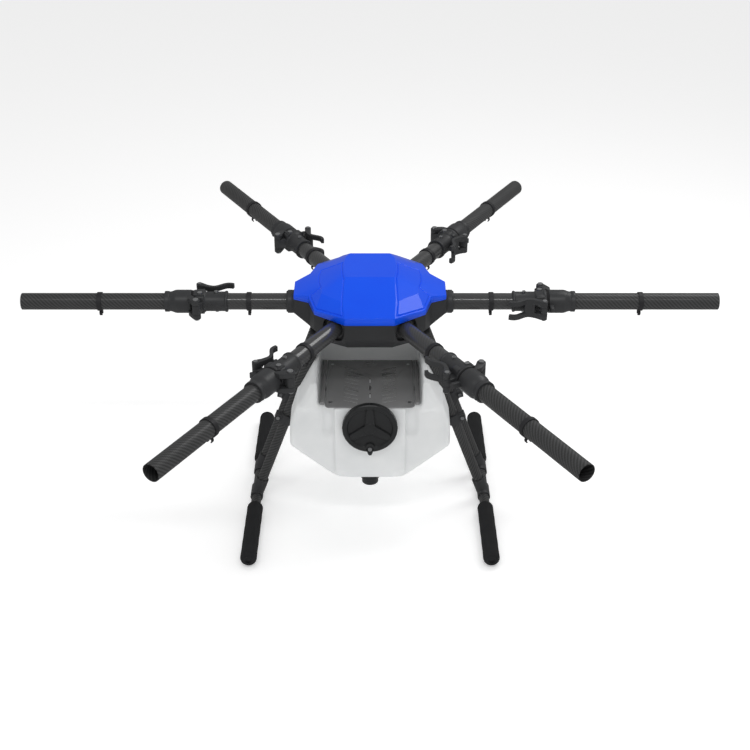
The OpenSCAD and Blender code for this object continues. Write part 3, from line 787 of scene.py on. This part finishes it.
def mirrored(points):
    return points + [(-x, y, z) for x, y, z in points]


def tank_blocks():
    nose = FRONT + 9
    blocks = [
        # lower front, from side to side
        mirrored([(WIDE - 4, nose, 238), (WIDE, nose + 14, 238), (90, nose, FOOT + 9),
                  (56, nose, FOOT), (56, -78, FOOT), (90, -78, FOOT + 9), (WIDE, -78, 238),
                  (WIDE - 1, -78, 294), (WIDE - 1, nose + 14, 290), (WIDE - 5, nose, 266),
                  (100, nose, 262), (88, nose + 10, 280)]),
        # bridge behind the panel, under the tray
        mirrored([(118, -164, 270), (118, -168, BAY_FLOOR), (118, -100, BAY_FLOOR),
                  (118, -100, 270)]),
        # belly behind them
        mirrored([(56, -80, FOOT), (102, -80, 172), (183, -80, 244), (164, -80, 306),
                  (148, -80, BAY_FLOOR), (148, REAR, BAY_FLOOR), (164, REAR, 306),
                  (180, REAR, 250), (56, REAR - 70, FOOT), (102, REAR - 66, 172)]),
        # hump behind the tray
        mirrored([(148, 42, BAY_FLOOR - 10), (127, 42, 412), (114, 42, 440), (98, 42, TOP),
                  (98, REAR - 12, TOP), (114, REAR - 4, 440), (127, REAR, 412),
                  (148, REAR, BAY_FLOOR - 10)]),
        # raised middle panel of the front
        mirrored([(84, FRONT, 173), (84, FRONT, BAY_FLOOR), (84, -140, BAY_FLOOR),
                  (84, -140, FOOT), (78, FRONT + 10, FOOT + 2)]),
    ]
    for side in (-1, 1):
        cheek = [(WIDE - 5, nose, 264), (WIDE - 1, nose + 14, 290), (WIDE - 1, -78, 294),
                 (114, nose + 2, BAY_FLOOR), (172, nose + 10, BAY_FLOOR),
                 (174, -78, BAY_FLOOR), (112, nose, 262), (112, -78, 262),
                 (114, -78, BAY_FLOOR)]
        blocks.append([(side * x, y, z) for x, y, z in cheek])
        wall = [(122.5, -176, BAY_FLOOR - 12), (122.5, 44, BAY_FLOOR - 12),
                (124, -166, 410), (127, -166, 412), (124, 44, 425), (120, 44, 430),
                (172, -160, BAY_FLOOR - 12), (140, -160, 404), (174, -80, BAY_FLOOR - 12),
                (138, -80, 408), (148, 44, BAY_FLOOR - 12), (125, 44, 418),
                (164, -174, BAY_FLOOR - 12), (134, -174, 390), (123, -174, 392)]
        blocks.append([(side * x, y, z) for x, y, z in wall])
    return [block(points) for points in blocks]


# %% Melt the blocks into one skin
VOXEL = 0.0035
EASING = 9


def applied(piece):
    """Puts what the piece's modifiers make into its mesh."""
    depsgraph = bpy.context.evaluated_depsgraph_get()
    made = bpy.data.meshes.new_from_object(piece.evaluated_get(depsgraph))
    made.name = piece.name
    piece.modifiers.clear()
    piece.data = made
    made.shade_smooth()
    return piece


tank = finish(join(tank_blocks()), "tank_skin", "tank_unit", "tank_white", ["tank"])
melt = tank.modifiers.new("melt", "REMESH")
melt.mode = "VOXEL"
melt.voxel_size = VOXEL
ease = tank.modifiers.new("ease", "SMOOTH")
ease.factor = 0.5
ease.iterations = EASING
applied(tank)
print("tank faces", len(tank.data.polygons))

# %% [markdown]
# ## Neck ring and filler cap
# The neck stands out of the front as a ring. Its lid is a screw cap wider than a hand: a rim
# with small ribs to grip, a sunk face with three raised arms, and a locking tab below. The
# body is spun, and the details are skins of circles, turned into place one by one.

# %% Neck ring
seal_back = 1000 * seal_high.y
facing = Matrix.Translation((0, 0, CAP_Z)) @ Matrix.Rotation(-pi / 2, 4, "Z")
RING_OUT = -seal_back - 0.4

ring_section = [(-FRONT - 5, 44), (-FRONT - 5, 60), (RING_OUT, 60), (RING_OUT, 44)]
ring = soften(turned(ring_section, 96), 1.6, 3)
finish(join([ring], facing), "neck_ring_eased", "tank_unit", "tank_white", ["neck_ring"])

# %% Filler cap
cap_low, cap_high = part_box("filler_cap")
CAP = 500 * (cap_high.x - cap_low.x)
CAP_FACE = -1000 * cap_low.y
CAP_BACK = -1000 * cap_high.y
GRIPS = 24


def cap_body():
    section = [(CAP_BACK, 61), (CAP_BACK, CAP - 0.8), (CAP_BACK + 0.8, CAP),
               (CAP_FACE - 2.5, CAP), (CAP_FACE, CAP - 3), (CAP_FACE, 55), (CAP_FACE - 5.5, 52),
               (CAP_FACE - 6.5, 20), (CAP_FACE - 6.5, 0), (CAP_BACK + 4, 0), (CAP_BACK + 4, 61)]
    return soften(turned(section, 96), 0.8, 2, 30)


def cap_parts():
    parts = [cap_body()]
    parts.append(soften(plate([(0, 0, 15)], CAP_FACE - 8, CAP_FACE - 0.4), 2, 3))
    for turn, rise in ((90, 0), (210, 0.15), (330, 0.3)):
        arm = plate([(0, 0, 13), (47, 0, 9)], CAP_FACE - 8 + rise, CAP_FACE - 1.4 + rise)
        bmesh.ops.rotate(arm, verts=arm.verts, cent=(0, 0, 0),
                         matrix=Matrix.Rotation(radians(turn), 3, "Z"))
        parts.append(soften(arm, 2.2, 3))
    for k in range(GRIPS):
        grip = plate([(CAP - 0.9, 0, 1.6)], CAP_BACK + 2, CAP_FACE - 4, 10)
        bmesh.ops.rotate(grip, verts=grip.verts, cent=(0, 0, 0),
                         matrix=Matrix.Rotation(tau * k / GRIPS, 3, "Z"))
        parts.append(soften(grip, 0.5))
    tab = plate([(0, -CAP + 14, 11), (0, -CAP - 4, 5)], CAP_BACK + 3, CAP_FACE)
    parts.append(soften(tab, 1.2))
    return parts


def stand(part):
    """Turns a part drawn flat in XY so that its top faces the front."""
    part.transform(Matrix.Translation((0, 0, CAP_Z)) @ Matrix.Rotation(pi / 2, 4, "X"))
    return part


body, *details = cap_parts()
body.transform(facing)
cap = join([body] + [stand(part) for part in details])
finish(cap, "filler_cap_lid", "filler_cap", "cap_black", ["filler_cap"])
print("cap across", round(2 * CAP, 1))

# %% [markdown]
# ## Battery tray
# The tray is a moulded plate with two rows of slanted louvres that let air reach the battery.
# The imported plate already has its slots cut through, so an eased copy is enough: the dark in
# the slots is real depth.

# %% Battery tray
tray = broken_copy("battery_tray", 0.5)
print("tray faces", len(tray.faces))
finish(tray, "tray_plate", "tank_unit", "tray_grey", ["battery_tray"])

# %% [markdown]
# ## Top cover
# The cover is a crisp faceted lid: skirt, sloping front, side lobes over the arms and a raised
# panel on each side. Rings of points, one per height, are bridged into facets, which are then
# inset for the panels' grooves and bevelled so that every crease catches a thin light.

# %% Cover facets from four rings
cover_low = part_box("top_cover")[0]
SEAM = 1000 * cover_low.z - ARM_Z
PLAN = [(57, -167), (129, -112), (145, -52), (181, -34), (181, 34), (145, 52), (129, 112),
        (67, 167)]
CREASE = [40, 34, 40, 33, 36, 49, 46, 42]
SHOULDER = [(60, -118, 61), (113, -75, 58), (121, -42, 57.5), (126, -15, 57), (126, 20, 58),
            (121, 50, 59), (108, 88, 59.5), (66, 128, 62)]
ROOF = [(57, -34, 81), (60, -20, 82), (61, -6, 83), (62, 8, 83.5), (62, 26, 83.8),
        (61, 48, 83.5), (58, 76, 82.5), (48, 100, 80.5)]


def full_ring(half):
    return half + [(-x, *rest) for x, *rest in reversed(half)]


def add_ring(bm, points):
    verts = [bm.verts.new(point) for point in points]
    return [bm.edges.new(pair) for pair in zip(verts, verts[1:] + verts[:1])]


def cover_facets():
    bm = bmesh.new()
    rings = [[(x, y, SEAM) for x, y in PLAN], [(x, y, z) for (x, y), z in zip(PLAN, CREASE)],
             SHOULDER, ROOF]
    edges = [add_ring(bm, full_ring(ring)) for ring in rings]
    for low, high in zip(edges, edges[1:]):
        bmesh.ops.bridge_loops(bm, edges=low + high)
    bmesh.ops.contextual_create(bm, geom=edges[-1])
    bmesh.ops.recalc_face_normals(bm, faces=bm.faces)
    return bm


def side_panels(bm):
    """The facets of each raised side panel."""
    panels = {1: [], -1: []}
    for face in bm.faces:
        x, y, z = face.calc_center_median()
        if 60 < abs(x) < 130 and -150 < y < 45 and z > 44 and face.normal.z > 0.3:
            panels[1 if x > 0 else -1].append(face)
    return panels


# each step is (width, rise): a margin, the groove's fall, the panel's rise
GROOVE = [(3.5, 0), (1.6, -2.2), (1.6, 2.6)]

cover = cover_facets()
for faces in side_panels(cover).values():
    for width, rise in GROOVE:
        bmesh.ops.inset_region(cover, faces=faces, thickness=width, depth=rise,
                               use_boundary=True, use_even_offset=True)
print("cover facets", len(cover.faces))
lid = finish(join([cover], Matrix.Translation((0, 0, ARM_Z))), "cover_lid", "airframe",
             "cover_blue", ["top_cover"], sharp=180)
crease = lid.modifiers.new("crease", "BEVEL")
crease.width = 0.0035
crease.segments = 3
crease.limit_method = "ANGLE"
crease.angle_limit = radians(12)
crease.harden_normals = True
wall = lid.modifiers.new("wall", "SOLIDIFY")
wall.thickness = 0.0025
wall.offset = -1

# %% [markdown]
# ## Collars
# Each side arm leaves the shell through a stepped collar, turned from bar; at the corners
# only a lip shows inside the arch.

# %% Collars
def side_collar():
    section = [(181.2, TUBE + 0.05), (181.2, 28), (184, 28), (184.8, 27.2), (186, 28),
               (196, 28), (197, 27), (197, 25.5), (199.2, 25.5), (200, 24.6),
               (200, TUBE + 0.05)]
    return soften(turned(section, 72), 0.4, 2, 30)


def corner_lip():
    section = [(152.2, TUBE + 0.05), (152.2, 24), (159.4, 24), (160.2, 23.2),
               (160.2, TUBE + 0.05)]
    return turned(section, 64)


for i in ARMS:
    collar = side_collar() if i % 3 == 0 else corner_lip()
    finish(join([collar], arm_place(i)), f"collar_{i}", "airframe", "joint_black",
           ["arm_collars"])
print("collars", len(ARMS))

# %% [markdown]
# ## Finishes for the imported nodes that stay
# Pins, bolts, boards, plates and seals are right as they are. They only need their finish,
# which goes into the material slots of their objects.

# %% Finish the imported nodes
SLOTS = {part["node"]: part["material_slot"] for part in frame["record"]["subparts"]}
for node, slot in SLOTS.items():
    for material_slot in frame["nodes"][node].material_slots:
        material_slot.material = FINISH[slot]
print("packed nodes finished", len(SLOTS))

# %% [markdown]
# ## Studio
# A white floor and a white surround give the even ground of a product table. Glossy surfaces
# see a dimmer surround than the eye does, so that black stays black and the blue stays deep,
# and the soft boxes give the long highlights on the tubes. The overhead box only lights: seen
# in the cover, it would be a hard band.

# %% Floor and surround
floor_mesh = bpy.data.meshes.new("floor")
floor_bm = bmesh.new()
bmesh.ops.create_grid(floor_bm, x_segments=4, y_segments=4, size=12)
floor_bm.to_mesh(floor_mesh)
floor_bm.free()
floor = bpy.data.objects.new("floor", floor_mesh)
scene.collection.objects.link(floor)
floor.data.materials.append(Paint("floor_white", Base_Color=(0.96, 0.96, 0.96, 1),
                                  Roughness=0.9, Emission_Strength=0.35,
                                  Emission_Color=(1, 1, 1, 1)).material)
floor.visible_glossy = False

surround = bpy.data.worlds.new("surround")
scene.world = surround
surround.use_nodes = True
links = surround.node_tree.links
nodes = surround.node_tree.nodes
ground = nodes["Background"]
ground.inputs["Color"].default_value = (1, 1, 1, 1)
rays = nodes.new("ShaderNodeLightPath")
dim = nodes.new("ShaderNodeMapRange")
dim.inputs["To Min"].default_value = 0.52
dim.inputs["To Max"].default_value = 0.25
links.new(rays.outputs["Is Glossy Ray"], dim.inputs["Value"])
backdrop = nodes.new("ShaderNodeMapRange")
backdrop.inputs["To Max"].default_value = 1
links.new(rays.outputs["Is Camera Ray"], backdrop.inputs["Value"])
links.new(dim.outputs["Result"], backdrop.inputs["To Min"])
links.new(backdrop.outputs["Result"], ground.inputs["Strength"])


# %% Soft boxes
def soft_box(name, place, aim_at, size, power, turn=0):
    data = bpy.data.lights.new(name, "AREA")
    data.shape = "RECTANGLE"
    data.size, data.size_y = size
    data.energy = power
    lamp = bpy.data.objects.new(name, data)
    lamp.location = place
    way = Vector(aim_at) - Vector(place)
    lamp.rotation_euler = (way.to_track_quat("-Z", "Y").to_matrix()
                           @ Matrix.Rotation(radians(turn), 3, "Z")).to_euler()
    scene.collection.objects.link(lamp)
    return lamp


overhead = soft_box("overhead", (0, 0.5, 2.6), (0, 0, 0.5), (2.4, 0.3), 9)
overhead.visible_glossy = False
soft_box("right_box", (1.3, 0.9, 2.2), (0.1, 0, 0.55), (1.0, 1.0), 10, 45)
soft_box("front_strip", (0, -1.7, 2.75), (0, 0, 0.5), (3.0, 0.2), 18)
